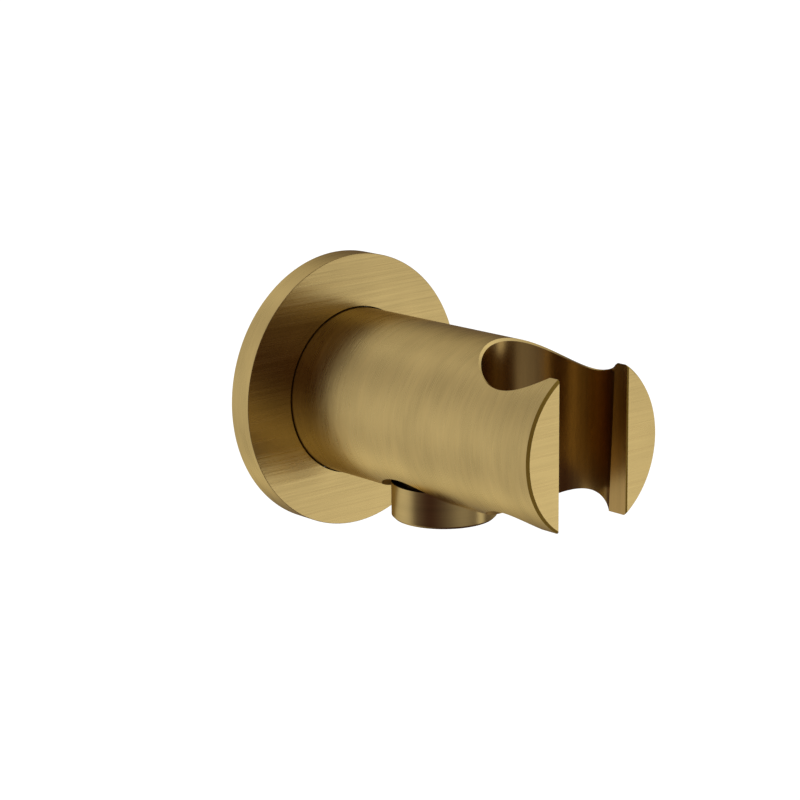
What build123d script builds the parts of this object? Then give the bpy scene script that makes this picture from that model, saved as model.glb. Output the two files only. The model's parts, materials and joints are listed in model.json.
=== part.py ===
from build123d import *
from math import radians, tan
import os

# A wall holder for a hand shower, with the hose outlet under its body. Millimetres.
# The wall is the plane Y = 0 and the room lies towards -Y, so a distance d from the wall is Y = -d.
# The body's axis runs along Y through the origin, and +Z is up.

# Wall flange
flange_overhang = 11.0  # beyond the body, all round
flange_thickness = 5.2
flange_edge_break = 0.2
flange_rim_wall = 2.5
flange_hub_wall = 3.25
seam_gap = 0.25  # round the body in the flange's bore
seal_thickness = 2.0
seal_clearance = 0.1

# Holder body
body_diameter = 34.0
body_setback = 1.0  # the rear face stands this far out from the wall
front_break_axial = 0.6
front_break_radial = 0.4

# Cradle for the handset, open to the front
cradle_spacing = 28.7  # from the outlet's axis
cradle_lip = 12.0  # from the cradle's axis to the front face
cradle_diameter = 24.1  # at the height of the body's axis
cradle_taper = 1.6  # degrees a side, wider at the top
cradle_edge_break = 0.5
mouth_width = 17.8
mouth_edge_break = 0.25

# Hose outlet
outlet_distance = 31.6  # from the wall
outlet_drop = 4.1  # below the body's lowest line
hose_thread_diameter = 20.955
hose_thread_length = 7.25
hose_thread_break = 0.5
recess_diameter = 24.7
recess_depth = 6.5  # from the body's lowest line
neck_diameter = 18.0
outlet_screw_diameter = 19.0
outlet_screw_length = 6.5
outlet_ring_inset = 1.5  # from the recess floor to the middle of the ring
thread_clearance = 0.05

# Water way
passage_diameter = 11.0
drill_point_angle = 118.0
outlet_way_step = 0.5  # the way down to the outlet is wider than the passage, all round
socket_diameter = 18.0
socket_wall = 2.2  # between the socket's floor and the outlet's screw
socket_lead_in = 0.8

# Wall nipple
supply_thread_diameter = 20.955
supply_thread_length = 14.0
supply_thread_start = 2.0  # behind the wall's face
supply_thread_break = 1.0
supply_bore_diameter = 9.0
spigot_clearance = 0.08
spigot_end_gap = 0.5
spigot_end_break = 0.4
hex_key = 10.0  # across the flats
hex_depth = 8.0
hex_sides = 6

# Sealing rings, drawn as squeezed: flat on both walls, with rounded corners cut as flats
ring_groove_width = 2.0
ring_groove_depth = 1.35
ring_inset = 2.0  # from the spigot's end to the middle of the front ring
ring_pitch = 2.8
ring_gap = 0.02  # to the walls
ring_side_gap = 0.08  # to the sides of the groove
ring_corner = 0.35
valve_ring_groove_width = 1.5
valve_ring_groove_depth = 1.0

# Locking screw
lock_inset = 8.5  # from the spigot's end
lock_diameter = 5.0
lock_recess = 1.0
lock_point_diameter = 1.2
lock_point_gap = 0.1
lock_groove_depth = 1.2
lock_groove_floor = 1.4
lock_hex_key = 2.5
lock_hex_depth = 2.8

# Check valve in the outlet
valve_cavity_diameter = 14.0
valve_cavity_depth = 11.6
valve_clearance = 0.1
valve_recess = 1.0  # the housing ends this far inside the nipple
valve_inlet_diameter = 8.4
valve_inlet_length = 1.2
valve_chamber_diameter = 11.4
valve_ring_inset = 1.35
seat_overlap = 0.5
seat_gap = 0.15
poppet_seal_thickness = 0.9
poppet_seal_gap = 0.05
poppet_groove_diameter = 6.0
poppet_head_diameter = 7.2
poppet_nose_diameter = 4.8
poppet_head_height = 1.0
poppet_rim_overlap = 0.2  # beyond the seal
poppet_rim_thickness = 0.8
stem_diameter = 2.4
stem_clearance = 0.05
stem_engagement = 1.6
guide_depth = 2.0
guide_wall = 0.85
guide_ledge = 0.4
guide_clearance = 0.05
guide_hub_diameter = 5.6
guide_hub_rise = 0.9
guide_leg_width = 1.0
guide_leg_count = 3
spring_diameter = 4.4  # at the middle of the wire
spring_wire_diameter = 0.35
spring_wire_sides = 6
spring_turns = 3.5
spring_end_gap = 0.02

# Radii
body_radius = body_diameter / 2
flange_radius = body_radius + flange_overhang
flange_bore_radius = body_radius + seam_gap
flange_groove_radius = flange_bore_radius + ring_groove_depth
seal_inner_radius = flange_bore_radius + flange_hub_wall
seal_outer_radius = flange_radius - flange_rim_wall
cradle_radius = cradle_diameter / 2
recess_radius = recess_diameter / 2
hose_thread_radius = hose_thread_diameter / 2
neck_radius = neck_diameter / 2
outlet_bore_radius = outlet_screw_diameter / 2
outlet_screw_radius = outlet_bore_radius - thread_clearance
outlet_groove_radius = outlet_screw_radius - ring_groove_depth
passage_radius = passage_diameter / 2
outlet_way_radius = passage_radius + outlet_way_step
socket_radius = socket_diameter / 2
spigot_radius = socket_radius - spigot_clearance
spigot_groove_radius = spigot_radius - ring_groove_depth
supply_thread_radius = supply_thread_diameter / 2
supply_bore_radius = supply_bore_diameter / 2
lock_hole_radius = lock_diameter / 2
lock_screw_radius = lock_hole_radius - thread_clearance
lock_point_radius = lock_point_diameter / 2
lock_groove_radius = spigot_radius - lock_groove_depth
valve_cavity_radius = valve_cavity_diameter / 2
valve_radius = valve_cavity_radius - valve_clearance
valve_groove_radius = valve_radius - valve_ring_groove_depth
valve_inlet_radius = valve_inlet_diameter / 2
valve_chamber_radius = valve_chamber_diameter / 2
guide_seat_radius = valve_chamber_radius + guide_ledge
guide_radius = guide_seat_radius - guide_clearance
guide_inner_radius = guide_radius - guide_wall
guide_hub_radius = guide_hub_diameter / 2
stem_radius = stem_diameter / 2
stem_bore_radius = stem_radius + stem_clearance
poppet_seal_radius = valve_inlet_radius + seat_overlap
poppet_rim_radius = poppet_seal_radius + poppet_rim_overlap
poppet_groove_radius = poppet_groove_diameter / 2
poppet_head_radius = poppet_head_diameter / 2
poppet_nose_radius = poppet_nose_diameter / 2
spring_wire_radius = spring_wire_diameter / 2

# Distances from the wall
cradle_distance = outlet_distance + cradle_spacing
body_front = cradle_distance + cradle_lip
socket_floor = outlet_distance - outlet_bore_radius - socket_wall
spigot_end = socket_floor - spigot_end_gap
passage_end = outlet_distance + passage_radius
passage_tip = passage_end + passage_radius / tan(radians(drill_point_angle / 2))
lock_distance = spigot_end - lock_inset
front_ring_distance = spigot_end - ring_inset
rear_ring_distance = front_ring_distance - ring_pitch
flange_ring_distance = flange_thickness / 2
nipple_front = -supply_thread_start
nipple_rear = nipple_front - supply_thread_length

# Heights
recess_floor = recess_depth - body_radius
outlet_end = -body_radius - outlet_drop
outlet_thread_top = outlet_end + hose_thread_length
outlet_top = recess_floor + outlet_screw_length
outlet_ring_height = recess_floor + outlet_ring_inset
valve_top = outlet_end + valve_cavity_depth
valve_bottom = outlet_end + valve_recess
valve_ring_height = valve_top - valve_ring_inset
seat_top = valve_top - valve_inlet_length
seat_bottom = seat_top - (valve_chamber_radius - valve_inlet_radius)
guide_top = valve_bottom + guide_depth
guide_hub_top = guide_top + guide_hub_rise
poppet_seal_top = seat_top - seat_overlap - seat_gap
poppet_rim_top = poppet_seal_top - poppet_seal_thickness
poppet_rim_bottom = poppet_rim_top - poppet_rim_thickness
poppet_top = poppet_seal_top + poppet_head_height
stem_end = guide_hub_top - stem_engagement
lock_end = lock_recess - body_radius
lock_tip = -lock_groove_radius - lock_point_gap
lock_shoulder = lock_tip - (lock_screw_radius - lock_point_radius)
spring_foot = guide_hub_top + spring_wire_radius + spring_end_gap
spring_height = poppet_rim_bottom - spring_wire_radius - spring_end_gap - spring_foot
clear = body_diameter  # past the body's skin, for cuts that run right through

# Planes for profiles, as (radius, distance from the wall) and as (radius, height)
wall_profile = Plane(origin=(0, 0, 0), x_dir=(1, 0, 0), z_dir=(0, 0, -1))
lock_profile = Plane.XZ.offset(lock_distance)
outlet_profile = Plane.XZ.offset(outlet_distance)
cradle_profile = Plane.XZ.offset(cradle_distance)
lock_axis = Axis((0, -lock_distance, 0), (0, 0, 1))
outlet_axis = Axis((0, -outlet_distance, 0), (0, 0, 1))
cradle_axis = Axis((0, -cradle_distance, 0), (0, 0, 1))

os.makedirs("parts", exist_ok=True)


def save(piece, name):
    piece.label = name
    export_step(piece, f"parts/{name}.step")


def profile(plane, *points):
    """One closed face on a plane, from its corner points."""
    with BuildSketch(plane) as outline:
        with BuildLine():
            Polyline(*points, close=True)
        make_face()
    return outline.sketch


def groove(plane, bottom, wall, station, width):
    """The section of a square groove between two radii, centred on its station."""
    with BuildSketch(plane) as section:
        with Locations(((bottom + wall) / 2, station)):
            Rectangle(abs(wall - bottom), width)
    return section.sketch


def sealing_ring(plane, axis, inner, outer, station, width):
    """A ring squeezed between two walls in a groove of the given width."""
    with BuildPart() as ring:
        with BuildSketch(plane) as section:
            with Locations(((inner + outer) / 2, station)):
                Rectangle(outer - inner - 2 * ring_gap, width - 2 * ring_side_gap)
            chamfer(section.vertices(), ring_corner)
        revolve(axis=axis)
    return ring.part


# Flange: turned, with a rear recess for the wall seal and a ring groove in its bore
flange_outline = profile(
    wall_profile,
    (flange_bore_radius, 0),
    (seal_inner_radius, 0),
    (seal_inner_radius, seal_thickness),
    (seal_outer_radius, seal_thickness),
    (seal_outer_radius, 0),
    (flange_radius, 0),
    (flange_radius, flange_thickness - flange_edge_break),
    (flange_radius - flange_edge_break, flange_thickness),
    (flange_bore_radius, flange_thickness),
)
flange_groove = groove(
    wall_profile, flange_bore_radius, flange_groove_radius, flange_ring_distance, ring_groove_width
)
with BuildPart() as wall_flange:
    revolve(flange_outline, axis=Axis.Y)
    revolve(flange_groove, axis=Axis.Y, mode=Mode.SUBTRACT)
save(wall_flange.part, "wall_flange")

seal_outline = profile(
    wall_profile,
    (seal_inner_radius + seal_clearance, 0),
    (seal_outer_radius - seal_clearance, 0),
    (seal_outer_radius - seal_clearance, seal_thickness),
    (seal_inner_radius + seal_clearance, seal_thickness),
)
with BuildPart() as wall_seal:
    revolve(seal_outline, axis=Axis.Y)
save(wall_seal.part, "wall_seal")

flange_o_ring = sealing_ring(
    wall_profile, Axis.Y, body_radius, flange_groove_radius, flange_ring_distance, ring_groove_width
)
save(flange_o_ring, "flange_o_ring")

# Body: a turned bar, its front end bored for the cradle and opened by a parallel mouth
body_outline = profile(
    wall_profile,
    (0, body_setback),
    (body_radius, body_setback),
    (body_radius, body_front - front_break_axial),
    (body_radius - front_break_radial, body_front),
    (0, body_front),
)
cradle_flare = clear * tan(radians(cradle_taper))
cradle_outline = profile(
    cradle_profile,
    (0, -clear),
    (cradle_radius - cradle_flare, -clear),
    (cradle_radius + cradle_flare, clear),
    (0, clear),
)
supply_outline = profile(
    wall_profile,
    (0, 0),
    (socket_radius + socket_lead_in, 0),
    (socket_radius + socket_lead_in, body_setback),
    (socket_radius, body_setback + socket_lead_in),
    (socket_radius, socket_floor),
    (passage_radius, socket_floor),
    (passage_radius, passage_end),
    (0, passage_tip),
)
outlet_outline = profile(
    outlet_profile,
    (0, -clear),
    (recess_radius, -clear),
    (recess_radius, recess_floor),
    (outlet_bore_radius, recess_floor),
    (outlet_bore_radius, outlet_top),
    (outlet_way_radius, outlet_top),
    (outlet_way_radius, 0),
    (0, 0),
)
lock_hole_outline = profile(
    lock_profile,
    (0, -clear),
    (lock_hole_radius, -clear),
    (lock_hole_radius, lock_tip),
    (0, lock_tip),
)
with BuildPart() as holder_body:
    revolve(body_outline, axis=Axis.Y)
    revolve(cradle_outline, axis=cradle_axis, mode=Mode.SUBTRACT)
    with BuildSketch():
        with Locations((0, -cradle_distance)):
            Rectangle(mouth_width, 2 * cradle_lip, align=(Align.CENTER, Align.MAX))
    extrude(amount=clear, both=True, mode=Mode.SUBTRACT)
    cradle_wall = holder_body.faces().filter_by(GeomType.CONE).sort_by(SortBy.AREA)[-1]
    cradle_rim = cradle_wall.edges().sort_by(Axis.Z)[-1]
    chamfer(cradle_rim, cradle_edge_break)
    mouth_edges = holder_body.edges().filter_by(Axis.Z).group_by(Axis.Y)[0]
    chamfer(mouth_edges, mouth_edge_break)
    revolve(supply_outline, axis=Axis.Y, mode=Mode.SUBTRACT)
    revolve(outlet_outline, axis=outlet_axis, mode=Mode.SUBTRACT)
    revolve(lock_hole_outline, axis=lock_axis, mode=Mode.SUBTRACT)
save(holder_body.part, "holder_body")

# Wall nipple: threaded into the wall fitting, its spigot in the body's socket
nipple_outline = profile(
    wall_profile,
    (supply_bore_radius, nipple_rear),
    (supply_thread_radius - supply_thread_break, nipple_rear),
    (supply_thread_radius, nipple_rear + supply_thread_break),
    (supply_thread_radius, nipple_front - supply_thread_break),
    (supply_thread_radius - supply_thread_break, nipple_front),
    (spigot_radius, nipple_front),
    (spigot_radius, spigot_end - spigot_end_break),
    (spigot_radius - spigot_end_break, spigot_end),
    (supply_bore_radius, spigot_end),
)
lock_groove_outline = profile(
    wall_profile,
    (lock_groove_radius, lock_distance - lock_groove_floor / 2),
    (lock_groove_radius, lock_distance + lock_groove_floor / 2),
    (spigot_radius, lock_distance + lock_groove_floor / 2 + lock_groove_depth),
    (spigot_radius, lock_distance - lock_groove_floor / 2 - lock_groove_depth),
)
with BuildPart() as wall_nipple:
    revolve(nipple_outline, axis=Axis.Y)
    for ring_distance in (front_ring_distance, rear_ring_distance):
        ring_seat = groove(
            wall_profile, spigot_groove_radius, spigot_radius, ring_distance, ring_groove_width
        )
        revolve(ring_seat, axis=Axis.Y, mode=Mode.SUBTRACT)
    revolve(lock_groove_outline, axis=Axis.Y, mode=Mode.SUBTRACT)
    with BuildSketch(Plane.XZ.offset(spigot_end)):
        RegularPolygon(hex_key / 2, hex_sides, major_radius=False)
    extrude(amount=-hex_depth, mode=Mode.SUBTRACT)
save(wall_nipple.part, "wall_nipple")

nipple_rings = {"nipple_o_ring_front": front_ring_distance, "nipple_o_ring_rear": rear_ring_distance}
for ring_name, ring_distance in nipple_rings.items():
    nipple_o_ring = sealing_ring(
        wall_profile, Axis.Y, spigot_groove_radius, socket_radius, ring_distance, ring_groove_width
    )
    save(nipple_o_ring, ring_name)

# Locking screw: a grub screw from below, its point in the spigot's groove
screw_outline = profile(
    lock_profile,
    (0, lock_end),
    (lock_screw_radius, lock_end),
    (lock_screw_radius, lock_shoulder),
    (lock_point_radius, lock_tip),
    (0, lock_tip),
)
with BuildPart() as locking_screw:
    revolve(screw_outline, axis=lock_axis)
    with BuildSketch(Plane.XY.offset(lock_end)):
        with Locations((0, -lock_distance)):
            RegularPolygon(lock_hex_key / 2, hex_sides, major_radius=False)
    extrude(amount=lock_hex_depth, mode=Mode.SUBTRACT)
save(locking_screw.part, "locking_screw")

# Outlet nipple: screwed up into the body, with a relief neck above its hose thread
outlet_nipple_outline = profile(
    outlet_profile,
    (0, outlet_end),
    (hose_thread_radius - hose_thread_break, outlet_end),
    (hose_thread_radius, outlet_end + hose_thread_break),
    (hose_thread_radius, outlet_thread_top),
    (neck_radius, outlet_thread_top),
    (neck_radius, recess_floor),
    (outlet_screw_radius, recess_floor),
    (outlet_screw_radius, outlet_top),
    (0, outlet_top),
)
outlet_ring_seat = groove(
    outlet_profile, outlet_groove_radius, outlet_screw_radius, outlet_ring_height, ring_groove_width
)
valve_cavity_outline = profile(
    outlet_profile,
    (0, outlet_end),
    (valve_cavity_radius, outlet_end),
    (valve_cavity_radius, valve_top),
    (0, valve_top),
)
with BuildPart() as outlet_nipple:
    revolve(outlet_nipple_outline, axis=outlet_axis)
    revolve(outlet_ring_seat, axis=outlet_axis, mode=Mode.SUBTRACT)
    revolve(valve_cavity_outline, axis=outlet_axis, mode=Mode.SUBTRACT)
    with BuildSketch(Plane.XY.offset(valve_top)):
        with Locations((0, -outlet_distance)):
            RegularPolygon(hex_key / 2, hex_sides, major_radius=False)
    extrude(amount=outlet_top - valve_top, mode=Mode.SUBTRACT)
save(outlet_nipple.part, "outlet_nipple")

outlet_o_ring = sealing_ring(
    outlet_profile,
    outlet_axis,
    outlet_groove_radius,
    outlet_bore_radius,
    outlet_ring_height,
    ring_groove_width,
)
save(outlet_o_ring, "outlet_o_ring")

# Check valve: a housing with a conical seat above and a ledge for the guide below
housing_outline = profile(
    outlet_profile,
    (valve_inlet_radius, valve_top),
    (valve_radius, valve_top),
    (valve_radius, valve_bottom),
    (guide_seat_radius, valve_bottom),
    (guide_seat_radius, guide_top),
    (valve_chamber_radius, guide_top),
    (valve_chamber_radius, seat_bottom),
    (valve_inlet_radius, seat_top),
)
valve_ring_seat = groove(
    outlet_profile, valve_groove_radius, valve_radius, valve_ring_height, valve_ring_groove_width
)
with BuildPart() as valve_housing:
    revolve(housing_outline, axis=outlet_axis)
    revolve(valve_ring_seat, axis=outlet_axis, mode=Mode.SUBTRACT)
save(valve_housing.part, "valve_housing")

valve_o_ring = sealing_ring(
    outlet_profile,
    outlet_axis,
    valve_groove_radius,
    valve_cavity_radius,
    valve_ring_height,
    valve_ring_groove_width,
)
save(valve_o_ring, "valve_o_ring")

poppet_outline = profile(
    outlet_profile,
    (0, stem_end),
    (stem_radius, stem_end),
    (stem_radius, poppet_rim_bottom),
    (poppet_rim_radius, poppet_rim_bottom),
    (poppet_rim_radius, poppet_rim_top),
    (poppet_groove_radius, poppet_rim_top),
    (poppet_groove_radius, poppet_seal_top),
    (poppet_head_radius, poppet_seal_top),
    (poppet_nose_radius, poppet_top),
    (0, poppet_top),
)
with BuildPart() as valve_poppet:
    revolve(poppet_outline, axis=outlet_axis)
save(valve_poppet.part, "valve_poppet")

poppet_seal_outline = profile(
    outlet_profile,
    (poppet_groove_radius + poppet_seal_gap, poppet_rim_top),
    (poppet_seal_radius, poppet_rim_top),
    (poppet_seal_radius, poppet_seal_top),
    (poppet_groove_radius + poppet_seal_gap, poppet_seal_top),
)
with BuildPart() as poppet_seal:
    revolve(poppet_seal_outline, axis=outlet_axis)
save(poppet_seal.part, "poppet_seal")

# Guide: a spider with a hub for the poppet's stem, legs, and a ring in the housing
guide_ring_outline = profile(
    outlet_profile,
    (guide_inner_radius, valve_bottom),
    (guide_radius, valve_bottom),
    (guide_radius, guide_top),
    (guide_inner_radius, guide_top),
)
guide_hub_outline = profile(
    outlet_profile,
    (0, valve_bottom),
    (guide_hub_radius, valve_bottom),
    (guide_hub_radius, guide_hub_top),
    (0, guide_hub_top),
)
with BuildPart() as valve_guide:
    revolve(guide_ring_outline, axis=outlet_axis)
    revolve(guide_hub_outline, axis=outlet_axis)
    with BuildSketch(Plane(origin=(0, -outlet_distance, valve_bottom))):
        with PolarLocations(0, guide_leg_count):
            leg_reach = (guide_inner_radius + guide_radius) / 2
            Rectangle(leg_reach, guide_leg_width, align=(Align.MIN, Align.CENTER))
    extrude(amount=guide_depth)
    with Locations((0, -outlet_distance, guide_hub_top)):
        Hole(stem_bore_radius)
save(valve_guide.part, "valve_guide")

with BuildPart() as valve_spring:
    with BuildLine(Plane(origin=(0, -outlet_distance, spring_foot))) as coil:
        Helix(spring_height / spring_turns, spring_height, spring_diameter / 2)
    with BuildSketch(Plane(origin=coil.line @ 0, z_dir=coil.line % 0)):
        RegularPolygon(spring_wire_radius, spring_wire_sides)
    sweep(path=coil.line, is_frenet=True)
save(valve_spring.part, "valve_spring")
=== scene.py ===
import bpy
import json
from math import atan2, cos, hypot, pi, radians, sin, sqrt, tan
from mathutils import Matrix, Vector


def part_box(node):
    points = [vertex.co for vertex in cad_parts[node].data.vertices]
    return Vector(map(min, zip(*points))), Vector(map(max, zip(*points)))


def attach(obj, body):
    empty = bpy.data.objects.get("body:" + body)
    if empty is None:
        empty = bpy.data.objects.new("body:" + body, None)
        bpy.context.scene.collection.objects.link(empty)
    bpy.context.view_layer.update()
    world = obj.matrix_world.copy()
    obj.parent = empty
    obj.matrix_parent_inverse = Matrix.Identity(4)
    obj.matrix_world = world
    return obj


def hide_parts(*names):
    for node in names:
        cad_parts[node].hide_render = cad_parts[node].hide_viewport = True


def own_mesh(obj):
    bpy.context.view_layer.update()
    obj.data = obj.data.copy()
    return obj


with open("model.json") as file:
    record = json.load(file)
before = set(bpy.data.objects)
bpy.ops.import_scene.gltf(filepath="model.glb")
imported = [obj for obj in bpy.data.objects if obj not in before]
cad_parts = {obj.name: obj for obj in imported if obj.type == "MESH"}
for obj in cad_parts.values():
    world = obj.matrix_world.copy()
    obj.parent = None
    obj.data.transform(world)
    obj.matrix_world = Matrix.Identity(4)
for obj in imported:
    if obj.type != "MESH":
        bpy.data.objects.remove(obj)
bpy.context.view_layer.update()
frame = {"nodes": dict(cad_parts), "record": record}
mm = 0.001
weld = 0.002 * mm  # points closer than this become one
skin = 0.03 * mm  # a face's middle lies within this of the surface that it belongs to
nodes = frame["nodes"]
axisY = Vector((0, -1, 0))  # along the holder, out of the wall
axisZ = Vector((0, 0, 1))
print("frame loaded:", len(nodes), "nodes")


# modelling helpers

def clearSelection():
    bpy.ops.object.select_all(action="DESELECT")


def only(piece):
    clearSelection()
    piece.select_set(True)
    bpy.context.view_layer.objects.active = piece


def settle(piece):  # place and turn go into the mesh, the object stays at the origin
    only(piece)
    bpy.ops.object.transform_apply(location=True, rotation=True, scale=True)


def turned(name, outline, centre, along, steps):
    # a lathe: a vertex is drawn out along the outline (radius, height) and spun about the axis
    across = Vector((1, 0, 0))
    points = [centre + across * r + along * h for r, h in outline]
    clearSelection()
    bpy.ops.mesh.primitive_plane_add(size=mm, location=points[0])
    piece = bpy.context.object
    piece.name = name
    bpy.ops.object.mode_set(mode="EDIT")
    bpy.ops.mesh.merge(type="CENTER")
    for start, end in zip(points, points[1:]):
        bpy.ops.mesh.extrude_vertices_move(TRANSFORM_OT_translate={"value": end - start})
    bpy.ops.mesh.select_all(action="SELECT")
    bpy.ops.mesh.spin(steps=steps, angle=2 * pi, center=centre, axis=along)
    bpy.ops.mesh.select_all(action="SELECT")
    bpy.ops.mesh.remove_doubles(threshold=weld)
    bpy.ops.mesh.normals_make_consistent(inside=False)
    bpy.ops.object.mode_set(mode="OBJECT")
    settle(piece)
    return piece


def stretch(start, end, count):  # points along a straight run of an outline, both ends included
    return [tuple(a + (b - a) * i / count for a, b in zip(start, end)) for i in range(count + 1)]


def block(name, low, high):
    clearSelection()
    bpy.ops.mesh.primitive_cube_add(size=1, location=(low + high) / 2)
    piece = bpy.context.object
    piece.name = name
    piece.scale = high - low
    settle(piece)
    return piece


def prism(name, flats, low, high, centre, along):  # a hexagon key's hole
    clearSelection()
    bpy.ops.mesh.primitive_cylinder_add(vertices=6, radius=flats / 2 / cos(pi / 6), depth=high - low)
    piece = bpy.context.object
    piece.name = name
    piece.rotation_euler = along.to_track_quat("Z", "Y").to_euler()
    piece.location = centre + along * (low + high) / 2
    settle(piece)
    return piece


def cut(piece, tool, operation="DIFFERENCE"):
    only(piece)
    bpy.ops.object.modifier_add(type="BOOLEAN")
    made = piece.modifiers[-1]
    made.operation = operation
    made.solver = "EXACT"
    made.object = tool
    bpy.ops.object.modifier_apply(modifier=made.name)
    bpy.data.objects.remove(tool)


def cleanUp(piece):
    only(piece)
    bpy.ops.object.mode_set(mode="EDIT")
    bpy.ops.mesh.select_all(action="SELECT")
    bpy.ops.mesh.remove_doubles(threshold=2 * weld)
    bpy.ops.mesh.dissolve_degenerate(threshold=weld)
    bpy.ops.object.mode_set(mode="OBJECT")


def smooth(piece, angle=18, weigh=True):
    only(piece)
    bpy.ops.object.shade_smooth_by_angle(angle=radians(angle))
    if weigh:
        bpy.ops.object.modifier_add(type="WEIGHTED_NORMAL")
        made = piece.modifiers[-1]
        made.keep_sharp = True
        bpy.ops.object.modifier_apply(modifier=made.name)


def fit(piece, slot, *names, body="holder"):
    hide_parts(*names)
    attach(piece, body)


def paint(piece, choose, *materials):  # choose gives a face's material by its middle and its normal
    piece.data.materials.clear()
    for material in materials:
        piece.data.materials.append(material)
    for face in piece.data.polygons:
        face.material_index = materials.index(choose(face.center, face.normal))


# shader helper

class Wire:
    # a socket that takes part in sums, and the one way to add any other node
    def __init__(self, tree, socket=None):
        self.tree = tree
        self.socket = socket

    def node(self, kind, settings=None, inputs=None, output=0):
        made = self.tree.nodes.new(kind)
        for key, value in (settings or {}).items():
            if key == "stops":
                stops = made.color_ramp.elements
                for place, (spot, colour) in enumerate(value):
                    stop = stops[place] if place < 2 else stops.new(spot)
                    stop.position = spot
                    stop.color = colour
            else:
                setattr(made, key, value)
        for key, value in (inputs or {}).items():
            if isinstance(value, Wire):
                self.tree.links.new(value.socket, made.inputs[key])
            else:
                made.inputs[key].default_value = value
        return Wire(self.tree, made.outputs[output])

    def math(self, operation, first, second):
        return self.node("ShaderNodeMath", {"operation": operation}, {0: first, 1: second})

    def __add__(self, other):
        return self.math("ADD", self, other)

    def __radd__(self, other):
        return self.math("ADD", other, self)

    def __sub__(self, other):
        return self.math("SUBTRACT", self, other)

    def __rsub__(self, other):
        return self.math("SUBTRACT", other, self)

    def __mul__(self, other):
        return self.math("MULTIPLY", self, other)

    def __rmul__(self, other):
        return self.math("MULTIPLY", other, self)


def newMaterial(name, colour):
    made = bpy.data.materials.new(name)
    made.use_nodes = True
    made.diffuse_color = (*colour, 1)
    shader = made.node_tree.nodes["Principled BSDF"]
    return made, shader, Wire(made.node_tree)


def plug(wire, shader, name):
    wire.tree.links.new(wire.socket, shader.inputs[name])


def shade(start, factor, look, low=0.0, high=1.0):
    stops = [(low, (*look["dark"], 1)), (high, (*look["light"], 1))]
    return start.node("ShaderNodeValToRGB", {"stops": stops}, {"Fac": factor})


def brass(name, look):
    # fine and broad streaks are noise drawn out along the brushing, and soft clouds lie over them
    material, shader, start = newMaterial(name, look["light"])
    place = start.node("ShaderNodeTexCoord", output="Object")

    def streaks(scale, detail):
        drawn = start.node("ShaderNodeMapping", inputs={"Vector": place, "Scale": scale})
        noise = start.node("ShaderNodeTexNoise", inputs={"Vector": drawn, "Scale": 1.0, "Detail": detail})
        return noise - 0.5

    fine = streaks(look["fine"], 3.0)
    broad = streaks(look["broad"], 2.0)
    cloud = streaks(look["cloud"], 2.0)
    tone = 0.5 + fine * look["fineTone"] + broad * look["broadTone"] + cloud * look["cloudTone"]
    plug(shade(start, tone, look), shader, "Base Color")
    plug(look["rough"] + (fine + broad) * look["roughSpread"], shader, "Roughness")
    height = fine * look["fineRelief"] + broad * look["broadRelief"]
    bump = start.node("ShaderNodeBump", inputs={"Strength": 1.0, "Distance": mm, "Height": height})
    plug(bump, shader, "Normal")
    shader.inputs["Metallic"].default_value = 1.0
    shader.inputs["Specular Tint"].default_value = (*look["edgeTint"], 1)
    shader.inputs["Anisotropic"].default_value = look["stretch"]
    shader.inputs["Anisotropic Rotation"].default_value = look["stretchTurn"]
    return material


# fine, broad and cloud are noise cells to the metre along X, Y and Z, and stretch draws highlights out
roundLook = {
    "light": (0.98, 0.745, 0.3), "dark": (0.52, 0.395, 0.16), "edgeTint": (0.95, 0.85, 0.6),
    "fine": (200, 3500, 200), "broad": (130, 800, 130), "cloud": (60, 110, 60),
    "fineTone": 0.3, "broadTone": 0.55, "cloudTone": 0.7, "rough": 0.29, "roughSpread": 0.12,
    "fineRelief": 0.005, "broadRelief": 0.02, "stretch": 0.2, "stretchTurn": 0.0,
}
flatLook = dict(
    roundLook, fine=(40, 40, 4000), broad=(30, 30, 800), fineTone=0.15, cloudTone=0.5, rough=0.26,
    fineRelief=0.003, broadRelief=0.04, stretch=0.3, stretchTurn=0.25,
)
# the bore's fine turned lines and gloss are its own finish, its darker colours than the outer brass are
# painted shade inside the hole
boreShadeLook = dict(
    roundLook, light=(0.76, 0.515, 0.18), dark=(0.41, 0.278, 0.097), fine=(4000, 4000, 80),
    broad=(900, 900, 30), rough=0.25, roughSpread=0.04, fineRelief=0.001, broadRelief=0.004, stretch=0.0,
)
edgeLook = dict(roundLook, rough=0.7, stretch=0.0)
# the front bevel takes much lighter colours than the other edges: painted light on the front chamfer
bevelLitLook = dict(edgeLook, light=(1.0, 0.8, 0.17), dark=(0.92, 0.73, 0.15))
rimLook = dict(roundLook, rough=0.22, stretch=0.0)
stubLook = dict(
    roundLook, fine=(80, 80, 4000), broad=(30, 30, 900), rough=0.34, roughSpread=0.04,
    fineRelief=0.001, broadRelief=0.004, stretch=0.65, stretchTurn=0.25,
)
# the neck above the stub's thread is near black: painted shade in the gap under the body
neckShadeLook = dict(
    stubLook, light=(0.12, 0.08, 0.03), dark=(0.06, 0.04, 0.015), edgeTint=(0.3, 0.25, 0.2), rough=0.5
)
brassRound = brass("brassRound", roundLook)
brassFlat = brass("brassFlat", flatLook)
brassBoreShade = brass("brassBoreShade", boreShadeLook)
brassEdge = brass("brassEdge", edgeLook)
brassBevelLit = brass("brassBevelLit", bevelLitLook)
brassRim = brass("brassRim", rimLook)
brassStub = brass("brassStub", stubLook)
brassNeckShade = brass("brassNeckShade", neckShadeLook)
print("brass ready")


# finishes of the small parts, and of the rings that stay as they come

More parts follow.
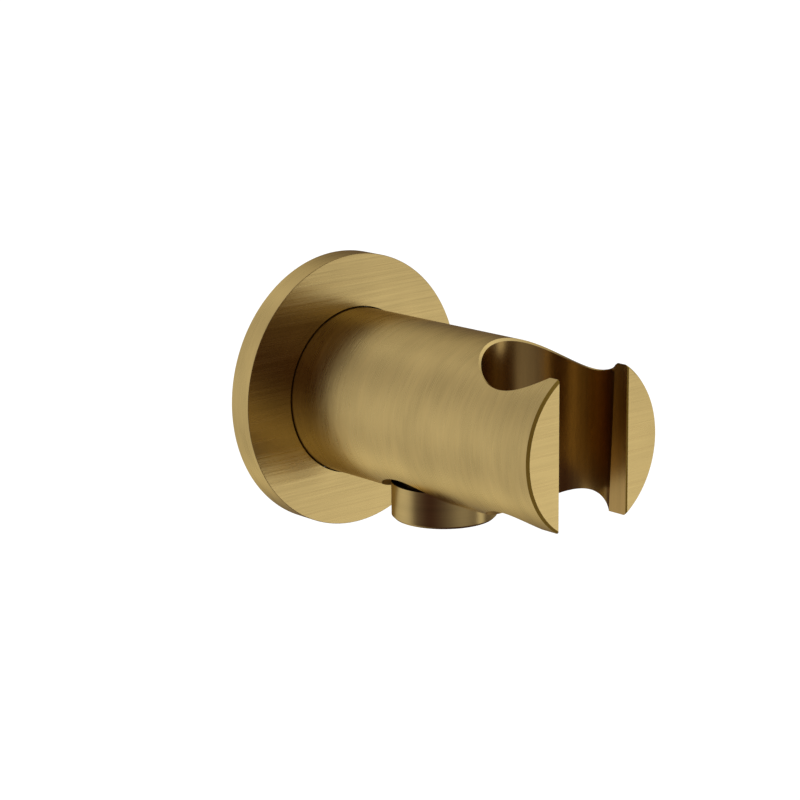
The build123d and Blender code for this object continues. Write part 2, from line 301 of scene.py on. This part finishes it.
grainHeight = 0.02 * mm
finishes = {
    "plain_brass": {
        "light": (0.72, 0.56, 0.28), "dark": (0.62, 0.46, 0.2), "metal": 1.0,
        "grain": 3000, "rough": 0.3, "roughSpread": 0.1, "relief": 0.1,
    },
    "foam_seal": {
        "light": (0.05, 0.05, 0.05), "dark": (0.02, 0.02, 0.02), "metal": 0.0,
        "grain": 4000, "rough": 0.9, "roughSpread": 0.1, "relief": 0.6,
    },
    "black_rubber": {
        "light": (0.03, 0.03, 0.03), "dark": (0.015, 0.015, 0.015), "metal": 0.0,
        "grain": 3000, "rough": 0.55, "roughSpread": 0.15, "relief": 0.2,
    },
    "screw_steel": {
        "light": (0.6, 0.6, 0.58), "dark": (0.4, 0.4, 0.4), "metal": 1.0,
        "grain": 5000, "rough": 0.3, "roughSpread": 0.15, "relief": 0.1,
    },
    "spring_steel": {
        "light": (0.65, 0.65, 0.65), "dark": (0.45, 0.45, 0.45), "metal": 1.0,
        "grain": 6000, "rough": 0.25, "roughSpread": 0.1, "relief": 0.1,
    },
    "valve_plastic": {
        "light": (0.82, 0.82, 0.78), "dark": (0.76, 0.76, 0.72), "metal": 0.0,
        "grain": 2500, "rough": 0.45, "roughSpread": 0.1, "relief": 0.1,
    },
    "poppet_plastic": {
        "light": (0.16, 0.3, 0.52), "dark": (0.12, 0.25, 0.46), "metal": 0.0,
        "grain": 2500, "rough": 0.4, "roughSpread": 0.1, "relief": 0.1,
    },
}


def plainFinish(name, look):
    material, shader, start = newMaterial(name, look["light"])
    place = start.node("ShaderNodeTexCoord", output="Object")
    noise = {"Vector": place, "Scale": look["grain"], "Detail": 4.0}
    grain = start.node("ShaderNodeTexNoise", inputs=noise)
    plug(shade(start, grain, look, low=0.3, high=0.7), shader, "Base Color")
    plug(look["rough"] + (grain - 0.5) * look["roughSpread"], shader, "Roughness")
    relief = {"Strength": look["relief"], "Distance": grainHeight, "Height": grain}
    plug(start.node("ShaderNodeBump", inputs=relief), shader, "Normal")
    shader.inputs["Metallic"].default_value = look["metal"]
    return material


def dress(piece, slot, name, body="holder"):  # one plain finish all over
    paint(piece, lambda centre, normal: finish[slot], finish[slot])
    fit(piece, slot, name, body=body)


finish = {slot: plainFinish(slot, look) for slot, look in finishes.items()}
for part in frame["record"]["subparts"]:
    if part["material_slot"] in finish:
        for slot in nodes[part["node"]].material_slots:
            slot.material = finish[part["material_slot"]]
print("small parts finished")


# wall flange

flangeLow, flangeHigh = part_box("wall_flange")
bodyLow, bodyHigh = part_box("holder_body")
sealLow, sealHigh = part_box("wall_seal")
flange = {
    "radius": flangeHigh.x,
    "thickness": -flangeLow.y,
    "bore": bodyHigh.x + 0.25 * mm,
    "edgeBreak": 0.08 * mm,
    "sealInner": 20.5 * mm,
    "sealOuter": 25.5 * mm,
    "sealDepth": 2.0 * mm,
    "grooveDepth": 1.35 * mm,
    "grooveWidth": 2.0 * mm,
    "steps": 360,
}


def makeFlange(size):
    deep = size["bore"] + size["grooveDepth"]
    middle = size["thickness"] / 2
    rear, front = middle - size["grooveWidth"] / 2, middle + size["grooveWidth"] / 2
    outline = [
        (size["bore"], 0), (size["sealInner"], 0), (size["sealInner"], size["sealDepth"]),
        (size["sealOuter"], size["sealDepth"]), (size["sealOuter"], 0), (size["radius"], 0),
        (size["radius"], size["thickness"] - size["edgeBreak"]),
        (size["radius"] - size["edgeBreak"], size["thickness"]), (size["bore"], size["thickness"]),
        (size["bore"], front), (deep, front), (deep, rear), (size["bore"], rear), (size["bore"], 0),
    ]
    piece = turned("flange", outline, Vector(), axisY, size["steps"])
    smooth(piece, weigh=False)

    def choose(centre, normal):
        facesRoom = normal.y < -0.95
        onRound = abs(hypot(centre.x, centre.z) - size["radius"]) < skin and abs(normal.y) < 0.1
        if facesRoom:
            return brassFlat
        return brassRound if onRound else brassEdge

    paint(piece, choose, brassEdge, brassFlat, brassRound)
    fit(piece, "brushed_brass", "wall_flange")


makeFlange(flange)
print("flange made")


# holder body

stubLow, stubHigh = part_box("outlet_nipple")
nippleLow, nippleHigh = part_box("wall_nipple")
screwLow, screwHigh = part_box("locking_screw")
body = {
    "radius": bodyHigh.x,
    "rear": -bodyHigh.y,
    "front": -bodyLow.y,
    "breakAxial": 0.6 * mm,
    "breakRadial": 0.4 * mm,
    "outlet": -(stubLow.y + stubHigh.y) / 2,
    "cradleLip": 12.0 * mm,
    "cradleRadius": 12.05 * mm,
    "cradleTaper": radians(1.6),
    "cradleBreak": 0.5 * mm,
    "mouth": 17.8 * mm,
    "mouthBreak": 0.25 * mm,
    "recessRadius": 12.35 * mm,
    "recessFloor": -10.5 * mm,
    "outletBore": 9.5 * mm,
    "wayRadius": 6.0 * mm,
    "passage": 5.5 * mm,
    "drillPoint": radians(59),
    "socket": 9.0 * mm,
    "socketFloor": -nippleLow.y + 0.5 * mm,
    "leadIn": 0.8 * mm,
    "lockDistance": -(screwLow.y + screwHigh.y) / 2,
    "lockRadius": 2.5 * mm,
    "lockTop": screwHigh.z,
    "lockSteps": 64,
    "boreShadeBand": 0.6 * mm,  # how far the bore's painted shade, the rim finish and the bevel's painted light reach
    "rimBand": 1.2 * mm,
    "bevelLitBand": 1.5 * mm,
    "steps": 360,
    "boreSteps": 288,
    "rimRounds": 6,
    "rings": 60,
}


def rimCutter(size, centre, coneRadius):
    # a ring whose underside is the rim's chamfer: its section slides up and down with the saddle of the rim
    width, radius, top = size["cradleBreak"], size["radius"], 2 * size["radius"]
    inner, outer = size["cradleRadius"] - mm, size["cradleRadius"] + mm
    outline = [(inner, 0), (outer, 0), (outer, top), (inner, top), (inner, 0)]
    tool = turned("rimCutter", outline, centre, axisZ, size["boreSteps"])
    for vertex in tool.data.vertices:
        arm = vertex.co - centre
        reach, lower = arm.xy.length, arm.z < top / 2
        spread = abs(arm.x) / reach
        rim, height = size["cradleRadius"], radius
        for again in range(size["rimRounds"]):  # closes in on where the cone meets the round skin
            height = sqrt(radius ** 2 - (rim * spread) ** 2)
            rim = coneRadius(height)
        slope = -rim * spread ** 2 / height
        away = rim + width / sqrt(1 + slope ** 2)
        onSkin = Vector((away, sqrt(radius ** 2 - (away * spread) ** 2)))
        onWall = Vector((coneRadius(height - width), height - width))
        past = (onSkin - onWall) * 2
        place = onWall - past if reach < size["cradleRadius"] else onSkin + past
        vertex.co.x = centre.x + arm.x / reach * place.x
        vertex.co.y = centre.y + arm.y / reach * place.x
        if lower:
            vertex.co.z = place.y
    return tool


def makeBody(size):
    radius, rear, front = size["radius"], size["rear"], size["front"]
    passage, socket = size["passage"], size["socket"]
    passageEnd = size["outlet"] + passage
    past = 2 * radius
    outline = [
        (0, passageEnd + passage / tan(size["drillPoint"])), (passage, passageEnd),
        (passage, size["socketFloor"]), (socket, size["socketFloor"]),
        (socket, rear + size["leadIn"]), (socket + size["leadIn"], rear),
        *stretch((radius, rear), (radius, front - size["breakAxial"]), size["rings"]),
        (radius - size["breakRadial"], front), (0, front),
    ]
    piece = turned("holderBody", outline, Vector(), axisY, size["steps"])
    cradleCentre = axisY * (front - size["cradleLip"])
    outletCentre = axisY * size["outlet"]
    lockCentre = axisY * size["lockDistance"]
    flare = tan(size["cradleTaper"])

    def coneRadius(height):
        return size["cradleRadius"] + height * flare

    wall = stretch((coneRadius(-past), -past), (coneRadius(past), past), size["rings"])
    cone = [(0, -past), *wall, (0, past)]
    cut(piece, turned("cradleCutter", cone, cradleCentre, axisZ, size["boreSteps"]))
    half = size["mouth"] / 2
    low = Vector((-half, cradleCentre.y - 2 * size["cradleLip"], -past))
    high = Vector((half, cradleCentre.y, past))
    cut(piece, block("mouthCutter", low, high))
    bore, way, floor = size["outletBore"], size["wayRadius"], size["recessFloor"]
    top = stubHigh.z
    well = [
        (0, -past), (size["recessRadius"], -past), (size["recessRadius"], floor), (bore, floor),
        (bore, top), (way, top), (way, 0), (0, 0),
    ]
    cut(piece, turned("outletCutter", well, outletCentre, axisZ, size["boreSteps"]))
    lockRadius, lockTop = size["lockRadius"], size["lockTop"]
    lock = [(0, -past), (lockRadius, -past), (lockRadius, lockTop), (0, lockTop)]
    cut(piece, turned("lockCutter", lock, lockCentre, axisZ, size["lockSteps"]))
    cut(piece, rimCutter(size, cradleCentre, coneRadius))
    side = size["mouthBreak"] * sqrt(2)
    for edge in (-half, half):
        corner = Vector((side / 2, side / 2, past))
        tool = block("edgeCutter", -corner, corner)
        tool.rotation_euler.z = pi / 4
        tool.location = (edge, -front, 0)
        settle(tool)
        cut(piece, tool)
    cleanUp(piece)
    smooth(piece)

    def choose(centre, normal):
        facesRoom = normal.y < -0.98 and abs(centre.y + front) < skin
        onRound = abs(hypot(centre.x, centre.z) - radius) < skin and abs(normal.y) < 0.1
        upright, facesUp = abs(normal.z) < 0.2, normal.z > 0.2
        reach = (centre - cradleCentre).xy.length - size["cradleRadius"]
        if facesRoom:
            return brassFlat
        if onRound:
            return brassRound
        # the bore inside the cradle gets darker colours: painted shade
        if upright and reach < size["boreShadeBand"]:
            return brassBoreShade
        # the faces near the front end get lighter colours: painted light
        if centre.y + front < size["bevelLitBand"]:
            return brassBevelLit
        return brassRim if facesUp and reach < size["rimBand"] else brassEdge

    paint(piece, choose, brassRound, brassFlat, brassBoreShade, brassEdge, brassRim, brassBevelLit)
    # this texture space runs the tangent along the axis on the round, and level on the faces
    piece.data.use_auto_texspace = False
    piece.data.texspace_location = (-1, 0, 0)
    piece.data.texspace_size = (1, 1000, 1)
    fit(piece, "brushed_brass", "holder_body")


makeBody(body)
print("body made")


# outlet nipple

stub = {
    "radius": stubHigh.x,
    "end": stubLow.z,
    "top": stubHigh.z,
    "endBreak": 0.5 * mm,
    "rim": -13.85 * mm,
    "neck": 9.0 * mm,
    "screw": 9.45 * mm,
    "cavity": 7.0 * mm,
    "cavityDepth": 11.6 * mm,
    "key": 10.0 * mm,
    "steps": 256,
}


def makeStub(size):
    centre = axisY * body["outlet"]
    radius, end, top = size["radius"], size["end"], size["top"]
    floor = body["recessFloor"]
    roof = end + size["cavityDepth"]
    outline = [
        (0, roof), (size["cavity"], roof), (size["cavity"], end), (radius - size["endBreak"], end),
        (radius, end + size["endBreak"]), (radius, size["rim"]), (size["neck"], size["rim"]),
        (size["neck"], floor), (size["screw"], floor), (size["screw"], top), (0, top),
    ]
    piece = turned("outletNipple", outline, centre, axisZ, size["steps"])
    cut(piece, prism("keyCutter", size["key"], roof - mm, top + mm, centre, axisZ))
    smooth(piece)

    def choose(centre, normal):
        # the neck above the rim gets the painted shade
        return brassNeckShade if centre.z > size["rim"] else brassStub

    paint(piece, choose, brassStub, brassNeckShade)
    fit(piece, "brushed_brass", "outlet_nipple")


makeStub(stub)
print("stub made")


# wall nipple

nipple = {
    "radius": nippleHigh.x,
    "rear": -nippleHigh.y,
    "front": -nippleLow.y,
    "threadEnd": -2.0 * mm,
    "threadBreak": 1.0 * mm,
    "pitch": 25.4 * mm / 14,
    "depth": 1.162 * mm,
    "crest": 0.12,  # share of half a pitch that is flat at crest and root
    "spigot": 8.92 * mm,
    "spigotBreak": 0.4 * mm,
    "bore": 4.5 * mm,
    "key": 10.0 * mm,
    "keyDepth": 8.0 * mm,
    "rings": (-nippleLow.y - 4.8 * mm, -nippleLow.y - 2.0 * mm),
    "grooveWidth": 2.0 * mm,
    "grooveDepth": 1.35 * mm,
    "lockFloor": 1.4 * mm,
    "lockDepth": 1.2 * mm,
    "threadRings": 100,
    "steps": 144,
}


def makeNipple(size):
    radius, rear, front, end = size["radius"], size["rear"], size["front"], size["threadEnd"]
    spigot, bore = size["spigot"], size["bore"]
    outline = [(bore, rear), *stretch((radius, rear), (radius, end), size["threadRings"]), (spigot, end)]
    lock, half = body["lockDistance"], size["lockFloor"] / 2
    deep = spigot - size["lockDepth"]
    outline += [
        (spigot, lock - half - size["lockDepth"]), (deep, lock - half),
        (deep, lock + half), (spigot, lock + half + size["lockDepth"]),
    ]
    for station in size["rings"]:
        low, high = station - size["grooveWidth"] / 2, station + size["grooveWidth"] / 2
        floor = spigot - size["grooveDepth"]
        outline += [(spigot, low), (floor, low), (floor, high), (spigot, high)]
    outline += [
        (spigot, front - size["spigotBreak"]), (spigot - size["spigotBreak"], front),
        (bore, front), (bore, rear),
    ]
    piece = turned("wallNipple", outline, Vector(), axisY, size["steps"])
    for vertex in piece.data.vertices:  # the thread's groove winds down the rear end
        spot = vertex.co
        reach, along = hypot(spot.x, spot.z), -spot.y
        if abs(reach - radius) < skin:
            turn = spot.y / size["pitch"] - atan2(spot.x, spot.z) / (2 * pi)
            ridge = abs(2 * (turn % 1) - 1)
            slope = min(max((ridge - size["crest"]) / (1 - 2 * size["crest"]), 0), 1)
            groove = radius - size["depth"] * (0.5 + 0.5 * cos(pi * slope))
            fromEnd = min(along - rear, end - along)
            lead = radius - max(size["threadBreak"] - fromEnd, 0)
            share = min(groove, lead) / reach
            spot.x *= share
            spot.z *= share
    cut(piece, prism("keyCutter", size["key"], front - size["keyDepth"], front + mm, Vector(), axisY))
    cleanUp(piece)
    smooth(piece, angle=40)
    dress(piece, "plain_brass", "wall_nipple")


makeNipple(nipple)
print("wall nipple made")


# wall seal

seal = {
    "inner": sealHigh.x - 4.8 * mm,
    "outer": sealHigh.x,
    "thickness": -sealLow.y,
    "edge": 0.35 * mm,
    "steps": 180,
}


def makeSeal(size):
    inner, outer, thick, edge = size["inner"], size["outer"], size["thickness"], size["edge"]
    outline = [
        (inner + edge, 0), (outer - edge, 0), (outer, edge), (outer, thick - edge), (outer - edge, thick),
        (inner + edge, thick), (inner, thick - edge), (inner, edge), (inner + edge, 0),
    ]
    piece = turned("wallSeal", outline, Vector(), axisY, size["steps"])
    smooth(piece, angle=50)
    dress(piece, "foam_seal", "wall_seal")


makeSeal(seal)
print("wall seal made")


# locking screw

screw = {
    "radius": screwHigh.x,
    "end": screwLow.z,
    "tip": screwHigh.z,
    "point": 0.6 * mm,
    "edge": 0.3 * mm,
    "key": 2.5 * mm,
    "keyDepth": 2.8 * mm,
    "steps": 64,
}


def makeScrew(size):
    radius, end, tip, point, edge = size["radius"], size["end"], size["tip"], size["point"], size["edge"]
    centre = axisY * body["lockDistance"]
    outline = [
        (0, end), (radius - edge, end), (radius, end + edge),
        (radius, tip - radius + point), (point, tip), (0, tip),
    ]
    piece = turned("lockingScrew", outline, centre, axisZ, size["steps"])
    cut(piece, prism("keyCutter", size["key"], end - mm, end + size["keyDepth"], centre, axisZ))
    cleanUp(piece)
    smooth(piece)
    dress(piece, "screw_steel", "locking_screw")


makeScrew(screw)
print("locking screw made")


# check valve in the stub

housingLow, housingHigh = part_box("valve_housing")
guideLow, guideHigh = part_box("valve_guide")
poppetLow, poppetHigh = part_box("valve_poppet")
ringLow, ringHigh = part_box("poppet_seal")
springLow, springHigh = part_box("valve_spring")
valve = {
    "radius": housingHigh.x,
    "inlet": 4.2 * mm,
    "inletLength": 1.2 * mm,
    "chamber": 5.7 * mm,
    "edge": 0.12 * mm,
    "grooveDepth": 1.0 * mm,
    "grooveWidth": 1.5 * mm,
    "grooveInset": 1.35 * mm,
    "guideDepth": 2.0 * mm,
    "guideWall": 0.85 * mm,
    "guideGap": 0.05 * mm,
    "hub": 2.8 * mm,
    "legs": 3,
    "legWidth": 1.0 * mm,
    "stemBore": 1.25 * mm,
    "stem": 1.2 * mm,
    "head": 3.6 * mm,
    "nose": 2.4 * mm,
    "waist": 3.0 * mm,
    "rim": 0.8 * mm,
    "wire": 0.35 * mm,
    "turns": 3.5,
    "wireSides": 16,
    "turnSteps": 48,
    "travel": 2.0 * mm,
    "steps": 120,
}
valveCentre = axisY * body["outlet"]


def makeHousing(size):
    low, high, radius, edge = housingLow.z, housingHigh.z, size["radius"], size["edge"]
    seat, ledge = guideHigh.x + size["guideGap"], guideLow.z + size["guideDepth"]
    seatTop = high - size["inletLength"]
    middle = high - size["grooveInset"]
    deep = radius - size["grooveDepth"]
    bottom, top = middle - size["grooveWidth"] / 2, middle + size["grooveWidth"] / 2
    outline = [
        (size["inlet"], high), (radius - edge, high), (radius, high - edge), (radius, top), (deep, top),
        (deep, bottom), (radius, bottom), (radius, low + edge), (radius - edge, low),
        (seat, low), (seat, ledge), (size["chamber"], ledge),
        (size["chamber"], seatTop - size["chamber"] + size["inlet"]),
        (size["inlet"], seatTop), (size["inlet"], high),
    ]
    piece = turned("valveHousing", outline, valveCentre, axisZ, size["steps"])
    smooth(piece)
    dress(piece, "valve_plastic", "valve_housing")


def makeGuide(size):
    low, top, outer, edge = guideLow.z, guideLow.z + size["guideDepth"], guideHigh.x, size["edge"]
    inner, hub, bore = outer - size["guideWall"], size["hub"], size["stemBore"]
    ring = [
        (inner + edge, low), (outer - edge, low), (outer, low + edge), (outer, top), (inner, top),
        (inner, low + edge), (inner + edge, low),
    ]
    middle = [
        (bore + edge, low), (hub - edge, low), (hub, low + edge), (hub, guideHigh.z), (bore, guideHigh.z),
        (bore, low + edge), (bore + edge, low),
    ]
    piece = turned("valveGuide", ring, valveCentre, axisZ, size["steps"])
    cut(piece, turned("hub", middle, valveCentre, axisZ, size["steps"] // 2), "UNION")
    reach = (bore + hub) / 2, (inner + outer) / 2
    for number in range(size["legs"]):
        leg = block(
            "leg", Vector((reach[0], -size["legWidth"] / 2, low + edge)),
            Vector((reach[1], size["legWidth"] / 2, top - edge)),
        )
        leg.rotation_euler.z = 2 * pi * number / size["legs"]
        leg.location = valveCentre
        settle(leg)
        cut(piece, leg, "UNION")
    cleanUp(piece)
    smooth(piece)
    dress(piece, "valve_plastic", "valve_guide")


def makePoppet(size):
    low, high, stem, edge = poppetLow.z, poppetHigh.z, size["stem"], size["edge"]
    rimTop, rimBottom, sealTop = ringLow.z, ringLow.z - size["rim"], ringHigh.z
    rim = poppetHigh.x
    outline = [
        (0, low), (stem - edge, low), (stem, low + edge), (stem, rimBottom), (rim - edge, rimBottom),
        (rim, rimBottom + edge), (rim, rimTop), (size["waist"], rimTop), (size["waist"], sealTop),
        (size["head"], sealTop), (size["nose"], high), (0, high),
    ]
    piece = turned("valvePoppet", outline, valveCentre, axisZ, size["steps"])
    smooth(piece)
    dress(piece, "poppet_plastic", "valve_poppet", body="poppet")


def makePoppetSeal(size):
    low, high, outer, edge = ringLow.z, ringHigh.z, ringHigh.x, size["edge"]
    inner = size["waist"] + size["guideGap"]
    outline = [
        (inner, low), (outer - edge, low), (outer, low + edge), (outer, high - edge), (outer - edge, high),
        (inner, high), (inner, low),
    ]
    piece = turned("poppetSeal", outline, valveCentre, axisZ, size["steps"])
    smooth(piece, angle=50)
    dress(piece, "black_rubber", "poppet_seal", body="poppet")


def makeSpring(size):
    wire = size["wire"] / 2
    coil = springHigh.x - wire
    rise = springHigh.z - springLow.z - 2 * wire
    clearSelection()
    bpy.ops.mesh.primitive_circle_add(
        vertices=size["wireSides"], radius=wire, location=(coil, 0, 0), rotation=(pi / 2, 0, 0)
    )
    piece = bpy.context.object
    piece.name = "valveSpring"
    settle(piece)
    bpy.ops.object.modifier_add(type="SCREW")
    made = piece.modifiers[-1]
    made.angle = 2 * pi * size["turns"]
    made.screw_offset = rise
    made.steps = made.render_steps = int(size["turns"] * size["turnSteps"])
    bpy.ops.object.modifier_apply(modifier=made.name)
    bpy.ops.object.mode_set(mode="EDIT")
    bpy.ops.mesh.select_all(action="SELECT")
    bpy.ops.mesh.fill_holes(sides=0)
    bpy.ops.mesh.select_all(action="SELECT")
    bpy.ops.mesh.normals_make_consistent(inside=False)
    bpy.ops.object.mode_set(mode="OBJECT")
    piece.location = valveCentre + axisZ * (springLow.z + wire)
    settle(piece)
    smooth(piece, angle=40, weigh=False)
    dress(piece, "spring_steel", "valve_spring")
    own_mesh(piece)


makeHousing(valve)
makeGuide(valve)
makePoppet(valve)
makePoppetSeal(valve)
makeSpring(valve)
print("check valve made")


# camera, floor and light

view = {
    "azimuth": radians(-40.03), "elevation": radians(13.092), "distance": 486.7 * mm,
    "aimAzimuth": radians(-41.528), "aimElevation": radians(13.468), "roll": radians(-0.598),
    "focal": 2362.2, "picture": 800, "sensor": 36.0,  # pixels, pixels and millimetres
    "nearest": 10 * mm,
}


def makeCamera(v):
    data = bpy.data.cameras.new("camera")
    data.sensor_width = v["sensor"]
    data.lens = v["focal"] / v["picture"] * v["sensor"]
    data.clip_start = v["nearest"]
    camera = bpy.data.objects.new("camera", data)
    bpy.context.scene.collection.objects.link(camera)
    level = cos(v["elevation"])
    outward = Vector((sin(v["azimuth"]) * level, -cos(v["azimuth"]) * level, sin(v["elevation"])))
    camera.location = outward * v["distance"]
    turn = Matrix.Rotation(v["aimAzimuth"], 3, "Z") @ Matrix.Rotation(pi / 2 - v["aimElevation"], 3, "X")
    camera.rotation_euler = (turn @ Matrix.Rotation(v["roll"], 3, "Z")).to_euler()
    bpy.context.scene.camera = camera


makeCamera(view)

studio = {
    "floor": -0.8, "floorSize": 5.0, "floorColour": (1, 1, 1), "floorGlow": 1.1,
    "room": (0.035, 0.0105, 0.011),  # dim warm light from all round
    # azimuth, elevation, half width and half height in degrees, strength, and how square the sides are
    "lights": {
        "rearLeft": (-150, -2, 35, 46, 0.62, 6),
        "rearTop": (167, 40, 28, 21, 0.52, 2),
        "rearLow": (177, -45, 28, 15, 0.5, 2),
        "farRight": (111, 26, 22, 22, 0.35, 2),
        "sideRight": (77, 35, 15, 18, 0.95, 2),
        "lowRight": (44.5, -18, 9, 17, 0.95, 6),
        "highRight": (35, 28, 14, 15, 0.35, 2),
        "front": (0, -29, 28, 20, 0.5, 2),
        "frontLeft": (-45, -13, 20, 20, 0.045, 2),
        "lowLeft": (-101, -25, 14, 15, 0.1, 2),
        "lowSide": (97, -14, 36, 13, 0.25, 2),
        "overhead": (20, 66, 48, 14, 0.29, 2),
    },
}


def softLight(start, ray, azimuth, elevation, width, height, strength, square):
    # a patch of the sky that fades by its angle to either side and up and down
    turn, lift = radians(azimuth), radians(elevation)
    ahead = Vector((sin(turn) * cos(lift), -cos(turn) * cos(lift), sin(lift)))
    across = Vector((cos(turn), sin(turn), 0))

    def along(axis):
        return start.node("ShaderNodeVectorMath", {"operation": "DOT_PRODUCT"}, {0: ray, 1: axis}, "Value")

    sideways = start.math("ARCTAN2", along(across), along(ahead)) * (1 / radians(width))
    sideways = start.math("POWER", start.math("ABSOLUTE", sideways, 0), square)
    upward = start.math("ARCSINE", along(ahead.cross(across)), 0) * (1 / radians(height))
    return start.math("EXPONENT", 0 - sideways - upward * upward, 0) * strength


def makeStage(s):
    material, shader, start = newMaterial("paleFloor", s["floorColour"])
    # the floor and the backdrop only glow, so they need no light
    shader.inputs["Base Color"].default_value = (0, 0, 0, 1)
    shader.inputs["Specular IOR Level"].default_value = 0.0
    shader.inputs["Emission Color"].default_value = (*s["floorColour"], 1)
    shader.inputs["Emission Strength"].default_value = s["floorGlow"]
    material.cycles.emission_sampling = "NONE"
    clearSelection()
    bpy.ops.mesh.primitive_plane_add(size=s["floorSize"], location=(0, 0, s["floor"]))
    floor = bpy.context.object
    floor.name = "floor"
    clearSelection()
    bpy.ops.mesh.primitive_uv_sphere_add(segments=64, ring_count=32, radius=s["floorSize"] / 2)
    backdrop = bpy.context.object
    backdrop.name = "backdrop"
    for piece in (floor, backdrop):  # the brass sees only the soft lights and the dim room
        piece.data.materials.append(material)
        piece.visible_glossy = piece.visible_diffuse = False
        piece.visible_transmission = piece.visible_shadow = False


def makeStudio(s):
    world = bpy.data.worlds.new("studio")
    world.use_nodes = True
    start = Wire(world.node_tree)
    place = start.node("ShaderNodeTexCoord", output="Generated")
    ray = start.node("ShaderNodeVectorMath", {"operation": "NORMALIZE"}, {0: place})
    glow = 0
    for light in s["lights"].values():
        glow = softLight(start, ray, *light) + glow
    lights = start.node("ShaderNodeBackground", inputs={"Color": (1, 1, 1, 1), "Strength": glow})
    room = start.node("ShaderNodeBackground", inputs={"Color": (*s["room"], 1), "Strength": 1.0})
    both = start.node("ShaderNodeAddShader", inputs={0: lights, 1: room})
    out = [node for node in world.node_tree.nodes if node.type == "OUTPUT_WORLD"][0]
    world.node_tree.links.new(both.socket, out.inputs["Surface"])
    world.cycles.sampling_method = "MANUAL"
    world.cycles.sample_map_resolution = 256
    bpy.context.scene.world = world


makeStage(studio)
makeStudio(studio)
bpy.context.scene.view_settings.view_transform = "Standard"
print("camera and studio ready")
